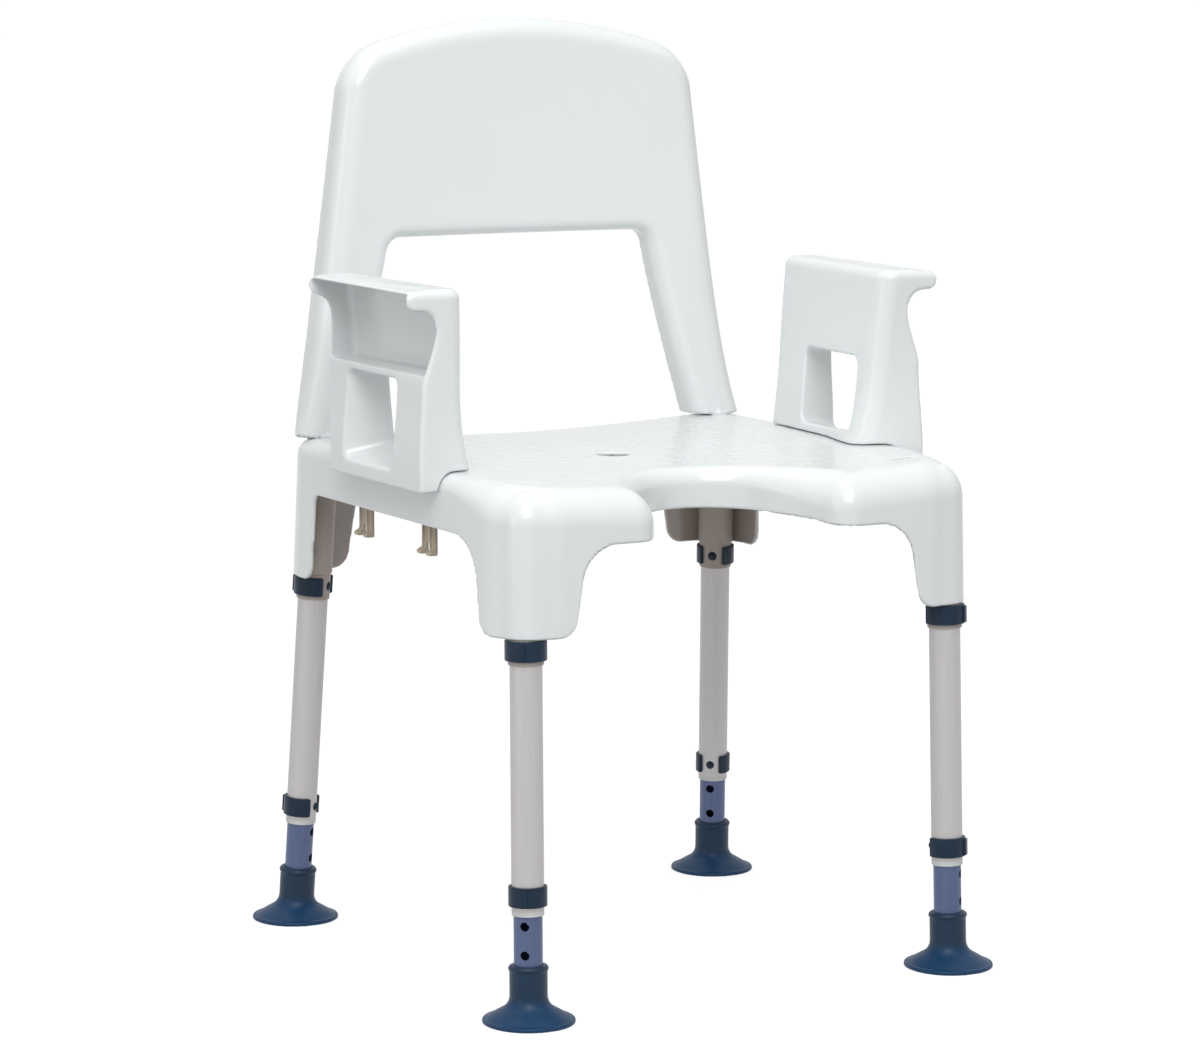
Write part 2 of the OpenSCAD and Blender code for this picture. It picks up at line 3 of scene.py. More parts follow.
import bpy
import numpy as np
from mathutils import Matrix, Vector
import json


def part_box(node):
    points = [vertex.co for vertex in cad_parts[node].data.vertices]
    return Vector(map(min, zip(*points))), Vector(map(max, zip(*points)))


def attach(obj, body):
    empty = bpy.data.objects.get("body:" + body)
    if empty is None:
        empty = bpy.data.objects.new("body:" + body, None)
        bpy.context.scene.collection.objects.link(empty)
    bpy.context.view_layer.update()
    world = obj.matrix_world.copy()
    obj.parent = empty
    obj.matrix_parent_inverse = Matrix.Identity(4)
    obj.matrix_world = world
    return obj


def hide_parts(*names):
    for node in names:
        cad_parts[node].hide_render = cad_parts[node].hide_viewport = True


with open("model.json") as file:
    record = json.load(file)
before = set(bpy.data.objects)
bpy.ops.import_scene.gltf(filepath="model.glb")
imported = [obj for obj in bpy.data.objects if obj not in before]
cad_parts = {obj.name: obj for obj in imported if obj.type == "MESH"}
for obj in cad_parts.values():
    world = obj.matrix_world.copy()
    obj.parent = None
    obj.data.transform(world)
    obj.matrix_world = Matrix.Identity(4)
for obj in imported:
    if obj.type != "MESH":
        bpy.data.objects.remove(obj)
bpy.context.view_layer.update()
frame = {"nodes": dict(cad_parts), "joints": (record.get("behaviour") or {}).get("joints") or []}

# ---- Studio ----
# A plain pale floor that runs out of sight, a white sky that is brighter overhead and three soft lights.
# The camera stands in front and a little to the left, looking slightly down on the seat.
azimuth, elevation, roll = math.radians(-28.95), math.radians(8.09), math.radians(0.29)
target, distance = Vector((0, 0.0438, 0.381)), 3.955
back = Vector((math.sin(azimuth) * math.cos(elevation), -math.cos(azimuth) * math.cos(elevation),
               math.sin(elevation)))
across = Vector((math.cos(azimuth), math.sin(azimuth), 0))
upward = back.cross(across)
turned = Matrix((math.cos(roll) * across + math.sin(roll) * upward,
                 math.cos(roll) * upward - math.sin(roll) * across, back)).transposed()
lens = bpy.data.cameras.new("camera")
lens.lens, lens.sensor_width = 129.14, 36
camera = bpy.data.objects.new("camera", lens)
camera.matrix_world = Matrix.Translation(target + back * distance) @ turned.to_4x4()
bpy.context.scene.collection.objects.link(camera)
bpy.context.scene.camera = camera
bpy.context.scene.view_settings.view_transform = "Standard"

sky = bpy.data.worlds.new("studio")
sky.use_nodes = True
bpy.context.scene.world = sky
sky_nodes = sky.node_tree.nodes
sky_links = sky.node_tree.links
sky_nodes.clear()
seen_sky = sky_nodes.new("ShaderNodeBackground")
seen_sky.inputs["Color"].default_value = (1, 1, 1, 1)
seen_sky.inputs["Strength"].default_value = 1.05
lighting_sky = sky_nodes.new("ShaderNodeBackground")
lighting_sky.inputs["Color"].default_value = (0.97, 0.985, 1, 1)
facing_up = sky_nodes.new("ShaderNodeSeparateXYZ")
sky_links.new(sky_nodes.new("ShaderNodeTexCoord").outputs["Generated"], facing_up.inputs[0])
brighter_above = sky_nodes.new("ShaderNodeMapRange")
for socket, value in (("From Min", 0), ("From Max", 1), ("To Min", 0.43), ("To Max", 0.74)):
    brighter_above.inputs[socket].default_value = value
sky_links.new(facing_up.outputs["Z"], brighter_above.inputs["Value"])
sky_links.new(brighter_above.outputs[0], lighting_sky.inputs["Strength"])
either = sky_nodes.new("ShaderNodeMixShader")
ray = sky_nodes.new("ShaderNodeLightPath")
whole_sky = sky_nodes.new("ShaderNodeOutputWorld")
mirrored_sky = sky_nodes.new("ShaderNodeMath")
mirrored_sky.operation = "MULTIPLY_ADD"
mirrored_sky.inputs[1].default_value = 0.6
sky_links.new(ray.outputs["Is Glossy Ray"], mirrored_sky.inputs[0])
sky_links.new(ray.outputs["Is Camera Ray"], mirrored_sky.inputs[2])
sky_links.new(mirrored_sky.outputs[0], either.inputs["Fac"])
sky_links.new(lighting_sky.outputs[0], either.inputs[1])
sky_links.new(seen_sky.outputs[0], either.inputs[2])
sky_links.new(either.outputs[0], whole_sky.inputs["Surface"])


def soft_light(name, place, size, power, colour=(1, 1, 1)):
    lamp = bpy.data.lights.new(name, "AREA")
    lamp.shape, lamp.size, lamp.size_y = "RECTANGLE", size[0], size[1]
    lamp.energy, lamp.color = power, colour
    holder = bpy.data.objects.new(name, lamp)
    holder.location = place
    holder.rotation_euler = (Vector((0, 0, 0.45)) - Vector(place)).to_track_quat("-Z", "Y").to_euler()
    bpy.context.scene.collection.objects.link(holder)


soft_light("key_light", (-0.9, -1.8, 2.3), (1.7, 1.7), 44)
soft_light("top_light", (-0.1, 0.3, 2.8), (1.8, 1.8), 12)
soft_light("side_light", (-2.4, -0.3, 0.7), (1.0, 1.0), 4)

floor_mesh = bpy.data.meshes.new("floor")
floor_rim = [(30 * math.cos(i * math.pi / 48), 30 * math.sin(i * math.pi / 48), 0) for i in range(96)]
floor_mesh.from_pydata(floor_rim, [], [list(range(96))])
floor = bpy.data.objects.new("floor", floor_mesh)
bpy.context.scene.collection.objects.link(floor)


class Value:
    """A socket in a finish's nodes: arithmetic on it adds Math nodes, and node() adds any other."""

    def __init__(self, tree, socket=None):
        self.tree, self.socket = tree, socket

    def node(self, kind, settings=None, sockets=None, out=0):
        made = self.tree.nodes.new("ShaderNode" + kind)
        for name, value in (settings or {}).items():
            if name == "stops":
                while len(made.color_ramp.elements) < len(value):
                    made.color_ramp.elements.new(1)
                for stop, (place, colour) in zip(made.color_ramp.elements, value):
                    stop.position, stop.color = place, colour
            else:
                setattr(made, name, value)
        for name, value in (sockets or {}).items():
            if isinstance(value, Value):
                self.tree.links.new(value.socket, made.inputs[name])
            else:
                made.inputs[name].default_value = value
        return Value(self.tree, made.outputs[out])

    def math(self, operation, *terms):
        return self.node("Math", {"operation": operation}, dict(enumerate(terms)))

    def __add__(self, other):
        return self.math("ADD", self, other)

    def __mul__(self, other):
        return self.math("MULTIPLY", self, other)

    __radd__, __rmul__ = __add__, __mul__


def finish(name, settings, surface):
    """A material: settings are constants of the shader, and surface(value) returns what varies over it."""
    made = bpy.data.materials.new(name)
    made.use_nodes = True
    tree = made.node_tree
    tree.nodes.clear()
    shader = tree.nodes.new("ShaderNodeBsdfPrincipled")
    end = tree.nodes.new("ShaderNodeOutputMaterial")
    tree.links.new(shader.outputs[0], end.inputs["Surface"])
    for socket, value in settings.items():
        shader.inputs[socket].default_value = value
    for socket, value in surface(Value(tree)).items():
        tree.links.new(value.socket, shader.inputs[socket])
    return made


def blend_colours(value, amount, dark, light):
    """Colour between dark and light by amount."""
    return value.node("Mix", {"data_type": "RGBA"}, {0: amount, 6: (*dark, 1), 7: (*light, 1)}, out=2)


def noise(value, scale, detail=2.0, stretch=(1, 1, 1), roughness=0.5):
    place = value.node("TexCoord", out=3)
    place = value.node("Mapping", {}, {"Vector": place, "Scale": stretch})
    return value.node("TexNoise", {}, {"Vector": place, "Scale": scale, "Detail": detail, "Roughness": roughness})


floor_mesh.materials.append(finish(
    "pale_floor",
    {"Roughness": 0.75, "Specular IOR Level": 0.2, "Emission Color": (1, 1, 1, 1), "Emission Strength": 0.80},
    lambda v: {"Base Color": blend_colours(v, noise(v, 3.0), (0.25, 0.25, 0.26), (0.29, 0.29, 0.30))}))
floor.visible_diffuse = False

# ---- Seat ----
# One injection moulding in glossy white polypropylene: a dished deck with a hygiene notch, skirts that roll
# over from it, and a shroud round the socket of each leg. The wall is 4 mm everywhere and open underneath.
# The inner face of the wall is painted a warm dark taupe: painted shade, for the shade under the seat.
SEAT_WALL = 0.004
SEAT_TOP = 0.458
SEAT_HALF = 0.240
SEAT_FRONT, SEAT_REAR = -0.230, 0.222
FRONT_CORNER, REAR_CORNER = 0.056, 0.040
DISH = 0.0085
NOTCH_HALF, NOTCH_DEPTH = 0.090, 0.129
SHROUD_LOW = 0.330
ARCH_TOP_FRONT, ARCH_TOP_SIDE, ARCH_TOP_REAR = 0.4068, 0.4095, 0.411
DRAIN_Y, DRAIN_RADIUS = 0.02, 0.015
SLOT_AT, SLOT_SIZE = (0.190, -0.172), (0.013, 0.003, 0.0029)
slides = {j["name"]: Vector(j["axis"]) for j in frame["joints"]}


def leg_line(name):
    """Foot point on the floor and direction up the leg, read from the frame."""
    low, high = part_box("suction_foot_" + name)
    foot = (low + high) / 2
    foot.z = 0
    return foot, -slides[f"extension_{name}_height"].normalized()


def along_and_off(x, y, z, line):
    """Distance along a leg's axis from the floor, and away from the axis."""
    foot, up = line
    dx, dy = x - foot.x, y - foot.y
    along = dx * up.x + dy * up.y + z * up.z
    off = np.sqrt((dx - along * up.x) ** 2 + (dy - along * up.y) ** 2 + (z - along * up.z) ** 2)
    return along, off


def round_and(a, b, radius):
    """Both a and b, with a round outer edge where they meet."""
    return np.minimum(-radius, np.maximum(a, b)) + np.hypot(np.maximum(radius + a, 0), np.maximum(radius + b, 0))


def soft_or(a, b, width):
    share = np.maximum(width - np.abs(a - b), 0) / width
    return np.minimum(a, b) - share * share * width / 4


def soft_and(a, b, width):
    return -soft_or(-a, -b, width)


def ease(t):
    t = np.clip(t, 0, 1)
    return t * t * (3 - 2 * t)


CORNERS = [(i, j, k) for i in (0, 1) for j in (0, 1) for k in (0, 1)]


def sheet_table():
    """For each filling of a cell's eight corners, which sheet of the surface each open corner belongs to."""
    table = np.full((256, 8), -1)
    for code in range(256):
        sheets = 0
        for start in range(8):
            if code >> start & 1 or table[code, start] >= 0:
                continue
            waiting = [start]
            while waiting:
                corner = waiting.pop()
                table[code, corner] = sheets
                waiting += [corner ^ turn for turn in (1, 2, 4)
                            if not code >> (corner ^ turn) & 1 and table[code, corner ^ turn] < 0]
            sheets += 1
    return table


SHEETS = sheet_table()


def skin(field, low, high, step, rounds=2):
    """Closed mesh of the surface where field(x, y, z) is zero, negative inside: points, faces and normals."""
    axes = [np.arange(a, b + step, step) for a, b in zip(low, high)]
    value = field(*np.meshgrid(*axes, indexing="ij"))
    solid = value < 0
    size = np.array(solid.shape) - 1
    code = sum(solid[i:size[0] + i, j:size[1] + j, k:size[2] + k].astype(int) << (4 * i + 2 * j + k)
               for i, j, k in CORNERS)
    cell = np.argwhere((code > 0) & (code < 255))
    sheets = SHEETS[code[tuple(cell.T)]].max(1) + 1
    number = np.full(code.shape, -1)
    number[tuple(cell.T)] = np.cumsum(sheets) - sheets
    total, hits = np.zeros((sheets.sum(), 3)), np.zeros(sheets.sum())
    quads = []
    for axis in range(3):
        u, v = (axis + 1) % 3, (axis + 2) % 3
        near = np.take(solid, range(size[axis]), axis)
        far = np.take(solid, range(1, size[axis] + 1), axis)
        edge = np.argwhere(near != far)
        edge = edge[(edge[:, u] > 0) & (edge[:, u] < size[u]) & (edge[:, v] > 0) & (edge[:, v] < size[v])]
        stop = edge.copy()
        stop[:, axis] += 1
        first, last = value[tuple(edge.T)], value[tuple(stop.T)]
        place = edge.astype(float)
        place[:, axis] += first / (first - last)
        outward = solid[tuple(edge.T)]
        open_end = np.where(outward[:, None], stop, edge)
        ring = []
        for du, dv in ((-1, -1), (0, -1), (0, 0), (-1, 0)):
            around = edge.copy()
            around[:, u] += du
            around[:, v] += dv
            corner = (open_end - around) @ (4, 2, 1)
            index = number[tuple(around.T)] + SHEETS[code[tuple(around.T)], corner]
            np.add.at(total, index, place)
            np.add.at(hits, index, 1)
            ring.append(index)
        ring = np.stack(ring, 1)
        quads.append(np.where(outward[:, None], ring, ring[:, ::-1]))
    quads = np.concatenate(quads)
    used, quads = np.unique(quads, return_inverse=True)
    quads = quads.reshape(-1, 4)
    points = np.array(low) + step * total[used] / hits[used, None]
    links = np.concatenate([quads[:, [i, (i + 1) % 4]] for i in range(4)])
    degree = np.bincount(links.ravel(), minlength=len(points))[:, None]

    def slope_at(places):
        reach = step / 12
        return np.stack([(field(*(places + reach * d).T) - field(*(places - reach * d).T)) / (2 * reach)
                         for d in np.eye(3)], 1)

    for pull in range(rounds + 1):
        if pull:
            mean = np.stack([np.bincount(links[:, 0], points[links[:, 1], i], len(points))
                             + np.bincount(links[:, 1], points[links[:, 0], i], len(points))
                             for i in range(3)], 1) / np.maximum(degree, 1)
            points = (points + mean) / 2
        for _ in range(3):
            slope = slope_at(points)
            move = -(field(*points.T) / np.maximum((slope ** 2).sum(1), 0.05))[:, None] * slope
            length = np.linalg.norm(move, axis=1)[:, None]
            points += move * np.minimum(1, step / 2 / np.maximum(length, 1e-9))
    across = np.cross(points[quads[:, 2]] - points[quads[:, 0]], points[quads[:, 3]] - points[quads[:, 1]])
    normals = np.stack([np.bincount(quads.ravel(), np.repeat(across[:, i], 4), len(points)) for i in range(3)], 1)
    normals /= np.maximum(np.linalg.norm(normals, axis=1), 1e-12)[:, None]
    slope = slope_at(points)
    slope /= np.maximum(np.linalg.norm(slope, axis=1), 1e-12)[:, None]
    agree = (normals * slope).sum(1) > 0.6
    return points, quads, np.where(agree[:, None], slope, normals)


def piece(name, parts, material, body, replaced=()):
    """One object from (points, faces, normals) parts, riding on a body and standing for CAD nodes."""
    points, faces, normals, base = [], [], [], 0
    for part_points, part_faces, part_normals in parts:
        points.append(part_points)
        faces.append(part_faces + base)
        normals.append(part_normals)
        base += len(part_points)
    mesh = bpy.data.meshes.new(name)
    mesh.from_pydata(np.concatenate(points).tolist(), [], np.concatenate(faces).tolist())
    mesh.shade_smooth()
    mesh.normals_split_custom_set_from_vertices(np.concatenate(normals).tolist())
    mesh.materials.append(material)
    made = bpy.data.objects.new(name, mesh)
    bpy.context.scene.collection.objects.link(made)
    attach(made, body)
    if replaced:
        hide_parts(*replaced)
    return made


right_front, right_rear = leg_line("front_right"), leg_line("rear_right")


def plan_edge(x, y, half, front, rear):
    middle, half_length = (front + rear) / 2, (rear - front) / 2
    radius = np.where(y < middle, FRONT_CORNER, REAR_CORNER)
    qx, qy = np.abs(x) - half + radius, np.abs(y - middle) - half_length + radius
    return np.minimum(np.maximum(qx, qy), 0) + np.hypot(np.maximum(qx, 0), np.maximum(qy, 0)) - radius


def notch_edge(x, y):
    deep = np.maximum(y - SEAT_FRONT, 0)
    k = np.sqrt((x / NOTCH_HALF) ** 2 + (deep / NOTCH_DEPTH) ** 2)
    rise = np.sqrt((x / NOTCH_HALF ** 2) ** 2 + (deep / NOTCH_DEPTH ** 2) ** 2)
    return k * (k - 1) / np.maximum(rise, 1e-6)


cell_pitch = 0.023
cell_rng = np.random.default_rng(11)
cell_jitter = cell_rng.uniform(0.12, 0.88, (40, 40, 2))


def pebbles(x, y):
    """Height of the non-slip relief on the deck: flat pebbles parted by soft grooves."""
    i0, j0 = np.floor(x / cell_pitch).astype(int), np.floor(y / cell_pitch).astype(int)
    nearest = np.full(x.shape, 9.0)
    second = np.full(x.shape, 9.0)
    for di in (-1, 0, 1):
        for dj in (-1, 0, 1):
            spot = cell_jitter[(i0 + di) % 40, (j0 + dj) % 40]
            gap = np.hypot(x - (i0 + di + spot[..., 0]) * cell_pitch, y - (j0 + dj + spot[..., 1]) * cell_pitch)
            second = np.minimum(second, np.maximum(nearest, gap))
            nearest = np.minimum(nearest, gap)
    raised = ease((second - nearest - 0.0012) / 0.0052)
    area = ease((0.186 - np.abs(x)) / 0.012) * ease((0.168 - y) / 0.012) * ease((y + 0.165) / 0.014)
    area = area * ease((notch_edge(x, y) - 0.024) / 0.012) * ease((np.hypot(x, y - DRAIN_Y) - 0.022) / 0.008)
    return 0.00030 * area * (raised - 1)


def seat_outside(x, y, z, relief=False):
    """Signed distance to the seat's outer surface, running on downwards without a floor."""
    draft = z - 0.34
    plan = plan_edge(x, y, SEAT_HALF - 0.030 * draft, SEAT_FRONT + 0.016 * draft, SEAT_REAR - 0.016 * draft)
    plan = round_and(plan, -notch_edge(x, y), 0.021)
    for line in (right_front, right_rear):
        plan = soft_or(plan, along_and_off(np.abs(x), y, z, line)[1] - 0.0166, 0.010)
    top = z - SEAT_TOP + DISH * np.clip(1 - (x / 0.213) ** 2, 0, 1) ** 1.25
    if relief:
        top = top - pebbles(x, y)
    roll_r = 0.016 + 0.016 * ease((-0.115 - y) / 0.085)
    return round_and(plan, top, roll_r)


def slot_edge(x, y, at, half_x, half_y, radius):
    return round_and(np.abs(np.abs(x) - at[0]) - half_x, np.abs(y - at[1]) - half_y, radius)


latch_boxes = {end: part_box("latch_right_" + end) for end in ("front", "rear")}
latch_middle = {end: ((b[0].x + b[1].x) / 2 - 0.0025, (b[0].y + b[1].y) / 2) for end, b in latch_boxes.items()}
peg_at = (0.21192, 0.19434)
PEG_HOLE = 0.0127


def seat_field(x, y, z):
    outside = seat_outside(x, y, z, relief=True)
    shell = np.abs(outside + SEAT_WALL / 2) - SEAT_WALL / 2
    lift = 0.007 * np.clip((y - SEAT_FRONT) / NOTCH_DEPTH, 0, 1) * (y < 0)
    arch_top = np.where(y < 0, ARCH_TOP_FRONT, ARCH_TOP_REAR)
    end_arch = round_and(np.abs(x) - 0.163 - 0.16 * (0.396 - z), z - arch_top - lift, 0.028)
    side_arch = np.maximum(round_and(-y - 0.166 - 0.2 * (0.395 - z), z - ARCH_TOP_SIDE, 0.034),
                           round_and(y - 0.154 - 0.06 * (0.410 - z), z - ARCH_TOP_SIDE, 0.006))
    kept = np.maximum(round_and(SHROUD_LOW - z, -end_arch, 0.014), round_and(SHROUD_LOW - z, -side_arch, 0.014))
    shell = soft_and(shell, kept, 0.0025)
    holes = np.hypot(x, y - DRAIN_Y) - DRAIN_RADIUS
    holes = np.minimum(holes, slot_edge(x, y, SLOT_AT, *SLOT_SIZE))
    for end in ("front", "rear"):
        holes = np.minimum(holes, slot_edge(x, y, latch_middle[end], 0.0030, 0.0142, 0.001))
    holes = np.minimum(holes, np.hypot(np.abs(x) - peg_at[0], y - peg_at[1]) - PEG_HOLE)
    holes = np.maximum(holes, 0.438 - z)
    return soft_and(shell, -holes, 0.002)


def bump(value, height, depth, strength):
    return value.node("Bump", {}, {"Height": height, "Distance": depth, "Strength": strength})


# Clean white outside; the inner sheet, marked by the underside attribute, is painted a warm dark taupe as painted
# shade.
def white_plastic_and_painted_shade(v, underside):
    clean = blend_colours(v, noise(v, 7.0, 3), (0.750, 0.777, 0.777), (0.782, 0.806, 0.806))
    painted_shade = blend_colours(v, noise(v, 24.0, 3), (0.400, 0.345, 0.310), (0.480, 0.425, 0.385))
    return v.node("Mix", {"data_type": "RGBA"}, {0: underside, 6: clean, 7: painted_shade}, out=2)


shell_white = finish(
    "shell_white", {"IOR": 1.49, "Coat Weight": 0.35, "Coat Roughness": 0.05},
    lambda v: {
        "Base Color": white_plastic_and_painted_shade(v, v.node("Attribute", {"attribute_name": "underside"}, out=2)),
        "Roughness": 0.17 + 0.07 * noise(v, 34.0, 4) + 0.04 * noise(v, 420.0, 2),
        "Normal": bump(v, noise(v, 26.0, 1), 0.00030, 0.5),
    })

seat_mesh = skin(seat_field, (-0.2475, -0.2375, 0.3225), (0.2475, 0.2305, 0.4655), 0.0027)
seat = piece("seat_moulding", [seat_mesh], shell_white, "seat", ["seat_shell"])
# Marks the inner sheet of the wall, where the painted shade goes.
underside = seat.data.attributes.new("underside", "FLOAT", "POINT")
underside.data.foreach_set("value", ease((-0.0028 - seat_outside(*seat_mesh[0].T)) / 0.0012))

# ---- Leg sockets ----
# Moulded in one with the seat: a leaning sleeve inside each shroud, tied to the outer walls by two ribs.
# Its thin neck stands out below the shroud for the locking clip, and a hole for the pin goes through it.
SOCKET_OUTER, SOCKET_BORE = 0.0166, 0.01407
SOCKET_LOW, BORE_TOP = 0.3312, 0.4022
RIB_HALF = 0.0013
PIN_HOLE = 0.0041
clip_across = slides["upper_clip_front_right_pull"].normalized(), slides["upper_clip_rear_right_pull"].normalized()


def clip_height(node, line):
    low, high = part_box(node)
    return ((low + high) / 2 - line[0]).dot(line[1])


def socket_part(end):
    line = right_front if end == "front" else right_rear
    outward = clip_across[0] if end == "front" else clip_across[1]
    pin_height = clip_height(f"upper_clip_{end}_right", line)
    foot, up = line
    middle = foot + up * pin_height
    sign = -1 if end == "front" else 1

    def field(x, y, z):
        along, off = along_and_off(x, y, z, line)
        solid = round_and(off - SOCKET_OUTER, SOCKET_LOW - along, 0.0018)
        axis_x, axis_y = foot.x + along * up.x, foot.y + along * up.y
        rib_x = round_and(np.abs(y - axis_y) - RIB_HALF, np.maximum(axis_x - x, 0.334 - z), 0.001)
        rib_y = round_and(np.abs(x - axis_x) - RIB_HALF, np.maximum(sign * (axis_y - y), 0.334 - z), 0.001)
        ribs = np.maximum(np.minimum(rib_x, rib_y), seat_outside(x, y, z) + 0.0015)
        solid = soft_or(solid, ribs, 0.004)
        solid = np.maximum(np.maximum(solid, z - 0.4545), seat_outside(x, y, z) + 0.0028)
        solid = soft_and(solid, -np.maximum(off - SOCKET_BORE, along - BORE_TOP), 0.0008)
        if end == "rear":
            peg_hole = np.maximum(np.hypot(x - peg_at[0], y - peg_at[1]) - PEG_HOLE, 0.4155 - z)
            solid = soft_and(solid, -peg_hole, 0.0008)
        return solid

    def neck(x, y, z):
        along, off = along_and_off(x, y, z, line)
        ring = round_and(np.abs(off - 0.01475) - 0.00068, np.abs(along - 0.3204) - 0.0126, 0.0005)
        across_gap = np.sqrt(np.maximum(
            (x - middle.x) ** 2 + (y - middle.y) ** 2 + (z - middle.z) ** 2
            - ((x - middle.x) * outward.x + (y - middle.y) * outward.y + (z - middle.z) * outward.z) ** 2, 0))
        return soft_and(ring, PIN_HOLE - across_gap, 0.0005)

    at = foot + up * 0.32
    neck_mesh = skin(neck, (at.x - 0.018, at.y - 0.018, 0.3045), (at.x + 0.018, at.y + 0.018, 0.3345), 0.0009)
    at = foot + up * 0.38
    reach_y = (-0.0275, 0.0235) if end == "front" else (-0.0235, 0.0285)
    body_mesh = skin(field, (at.x - 0.0215, at.y + reach_y[0], 0.3265),
                     (at.x + 0.0335, at.y + reach_y[1], 0.4575), 0.0016)
    return [body_mesh, neck_mesh]


def mirrored(part):
    """The left-hand twin of a right-hand part."""
    points, faces, normals = part
    flip = np.array([-1, 1, 1])
    return points * flip, faces[:, ::-1], normals * flip


# The sockets are the seat's white plastic, painted a dark warm taupe: painted shade for the shade they stand in
# under the seat.
socket_painted_shade = finish(
    "socket_painted_shade", {"IOR": 1.49},
    lambda v: {
        "Base Color": blend_colours(v, noise(v, 24.0, 3), (0.400, 0.345, 0.310), (0.480, 0.425, 0.385)),
        "Roughness": 0.38 + 0.12 * noise(v, 260.0, 3),
        "Normal": bump(v, noise(v, 700.0, 2), 0.0002, 0.3),
    })
sockets = socket_part("front") + socket_part("rear")
piece("leg_sockets", sockets + [mirrored(part) for part in sockets], socket_painted_shade, "seat",
      ["seat_shell"])

# ---- Backrest ----
# A second white moulding, plugged into the seat by two pegs: a broad bowed panel over a wide window, with a post
# on each side. It is a hollow 4.5 mm shell, open behind, with a closed foot on each post.
BACK_LOW, BACK_TOP = 0.4583, 0.840
BACK_WALL = 0.0045
WINDOW_TOP = 0.638
PEG_RADIUS = 0.0125


def back_outside(x, y, z):
    height = z - SEAT_TOP
    drop = np.clip(1 - height / 0.360, 0, 1.2)
    half = 0.179 + 0.057 * (0.8 * drop + 0.2 * drop ** 6)
    outline = round_and((np.abs(x) - half) * 0.985, z - BACK_TOP + 0.022 * (x / 0.147) ** 2, 0.032)
    window_drop = np.clip(1 - height / 0.180, 0, 1.2)
    window_half = 0.137 + 0.049 * window_drop ** 1.17
    window = round_and((np.abs(x) - window_half) * 0.96, z - WINDOW_TOP, 0.012)
    front = 0.178 + 0.024 * (1 - (x / 0.236) ** 2) - y
    body = round_and(outline, front, 0.022)
    return soft_and(body, round_and(-window, front, 0.014), 0.003)


def back_field(x, y, z):
    outside = back_outside(x, y, z)
    shell = np.abs(outside + BACK_WALL / 2) - BACK_WALL / 2
    foot = np.maximum(outside, z - 0.470)
    body = np.minimum(shell, foot)
    behind = plan_edge(x, y, SEAT_HALF, SEAT_FRONT, SEAT_REAR)
    body = soft_and(body, behind, 0.002)
    body = soft_and(body, BACK_LOW - z, 0.002)
    pegs = np.hypot(np.abs(x) - peg_at[0], y - peg_at[1]) - PEG_RADIUS
    pegs = round_and(pegs, np.maximum(0.4162 - z, z - 0.462), 0.002)
    return np.minimum(body, pegs)


back_mesh = skin(back_field, (-0.2435, 0.1705, 0.4125), (0.2435, 0.2305, 0.8475), 0.0030)
piece("backrest_moulding", [back_mesh], shell_white, "backrest", ["backrest"])

# ---- Armrests ----
# A white moulding on each side that clips down onto the seat's edge. Its lower half is a closed box with a tunnel
# through it, its upper half a pocket open to the outside, and its top edge flares into a thick rounded lip.
ARM_INNER, ARM_OUTER = 0.206, 0.2573
ARM_HEIGHT, ARM_WALL = 0.160, 0.004
SHELF = 0.5435
ARM_FRONT, ARM_REAR = -0.089, 0.099
ARM_LOW = 0.4425
LIP_END, LIP_MIDDLE, LIP_HALF = 0.2702, 0.6085, 0.0095
TUNNEL_Y, TUNNEL_HALF, TUNNEL_TOP = -0.012, 0.049, 0.5365


def arm_field(x, y, z):
    height = z - SEAT_TOP
    rise = np.clip(height / ARM_HEIGHT, 0, 1)
    flare = (0.005 + 0.007 * ease(-y / 0.07)) * np.clip(1 - rise / 0.45, 0, 1) ** 2
    inner = ARM_INNER + 0.008 * rise ** 2 - flare + 0.0664 * (y - ARM_FRONT) - x
    front = ARM_FRONT - 0.30 * (x - ARM_INNER) * (1 - rise) - 0.014 * rise ** 1.5 - y
    rear = y - ARM_REAR + 0.5 * np.maximum(x - 0.218, 0) * (1 - rise)
    top = z - SEAT_TOP - ARM_HEIGHT
    block = round_and(inner, front * 0.95, 0.017)
    block = round_and(block, rear * 0.93, 0.010)
    block = round_and(block, top, 0.009)
    scoop = (0.006 + 0.009 * ease(-y / 0.09)) * ease((z - 0.530) / 0.055)
    side = x - ARM_OUTER + 0.004 * np.sin(math.pi * rise) ** 2 + scoop
    lip = round_and(x - LIP_END, np.abs(z - LIP_MIDDLE) - LIP_HALF, 0.0092)
    section = soft_or(side, lip, 0.018)
    body = round_and(block, section, 0.0045)
    pocket = soft_and(block + ARM_WALL, SHELF - z, 0.004)
    body = soft_and(body, -pocket, 0.0025)
    through = (x - 0.211) / 0.046
    sill = np.maximum(0.467 - 0.010 * through - z, z - TUNNEL_TOP)
    tunnel = round_and(np.abs(y - TUNNEL_Y - 0.0145 * through) - TUNNEL_HALF, sill, 0.009)
    body = soft_and(body, -tunnel, 0.004)
    body = soft_and(body, ARM_LOW - z, 0.003)
    return soft_and(body, 0.0008 - seat_outside(x, y, z), 0.0022)


arm_mesh = skin(arm_field, (0.1885, -0.1225, 0.4385), (0.2775, 0.1085, 0.6245), 0.0020)
piece("armrest_right_moulding", [arm_mesh], shell_white, "armrest_right", ["armrest_right"])
piece("armrest_left_moulding", [mirrored(arm_mesh)], shell_white, "armrest_left", ["armrest_left"])

# ---- Latches ----
# Two springy tongues in cream acetal under each armrest, pushed through slots in the deck. A stop snaps under
# the deck, and the two hooked prongs at the lower end are what a thumb pulls on. Two thin ribs stiffen each one.
latch_cream = finish(
    "latch_cream", {"IOR": 1.48},
    lambda v: {
        "Base Color": blend_colours(v, noise(v, 60.0, 3), (0.47, 0.40, 0.29), (0.56, 0.49, 0.37)),
        "Roughness": 0.36 + 0.12 * noise(v, 300.0, 3),
        "Normal": bump(v, noise(v, 700.0, 2), 0.0002, 0.4),
    })


